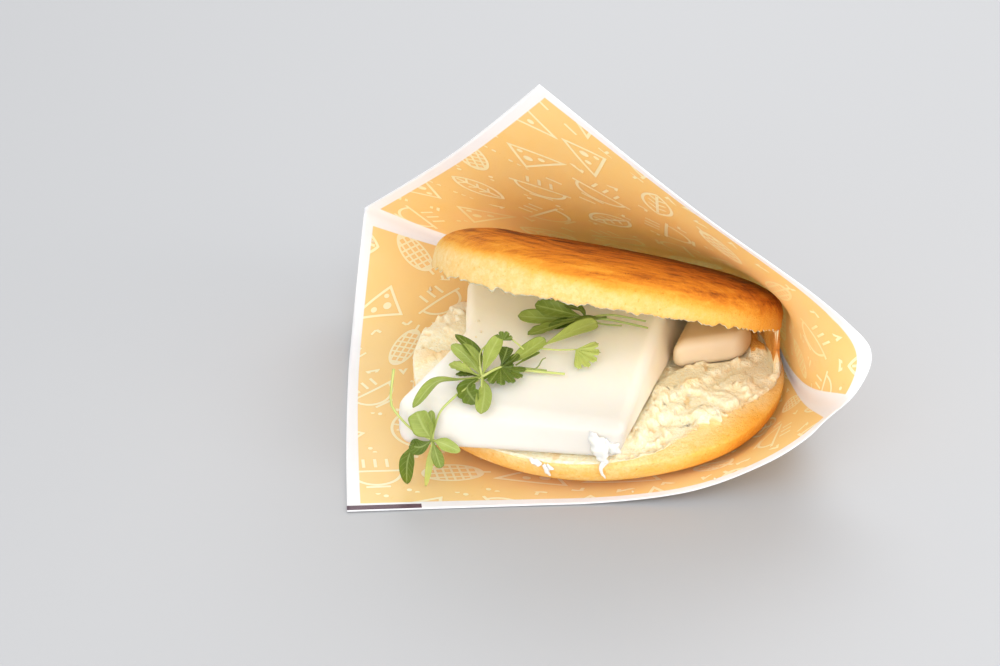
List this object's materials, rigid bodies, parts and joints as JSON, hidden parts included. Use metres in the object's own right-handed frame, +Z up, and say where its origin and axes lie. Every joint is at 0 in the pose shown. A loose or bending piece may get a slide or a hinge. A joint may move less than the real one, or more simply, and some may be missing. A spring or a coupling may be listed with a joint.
{
  "type": "cheese arepa in a paper sleeve",
  "caption": "Split round corn bread gaping over soft white cheese and micro greens, in an open square greaseproof paper sleeve whose top sheet stands up as a pointed flap.",
  "frame": {"origin": "middle of the bounding box in plan, on the surface that the sleeve lies on", "axes": "+X to the right as the opening is seen from the front, +Y to the sealed back of the sleeve, +Z up"},
  "size_m": [0.171, 0.1446, 0.1358],
  "materials": {
    "paper_sleeve": "thin translucent greaseproof paper printed orange with pale line drawings, white margins",
    "arepa_bread": "baked corn dough: toasted brown faces, golden sides, pale torn crumb",
    "cheese_slab": "soft white cheese, moist with a slight sheen",
    "cheese_slice": "soft white cheese, moist with a slight sheen",
    "sprig_middle": "fresh green leaves and stalks",
    "sprig_back": "fresh green leaves and stalks",
    "sprig_front": "fresh green leaves and stalks"
  },
  "bodies": {
    "root": {"paper_sleeve": "paper_sleeve", "arepa_bread": "arepa_bread", "cheese_slab": "cheese_slab", "cheese_slice": "cheese_slice", "sprig_middle": "sprig_middle", "sprig_back": "sprig_back", "sprig_front": "sprig_front"}
  },
  "joints": []
}
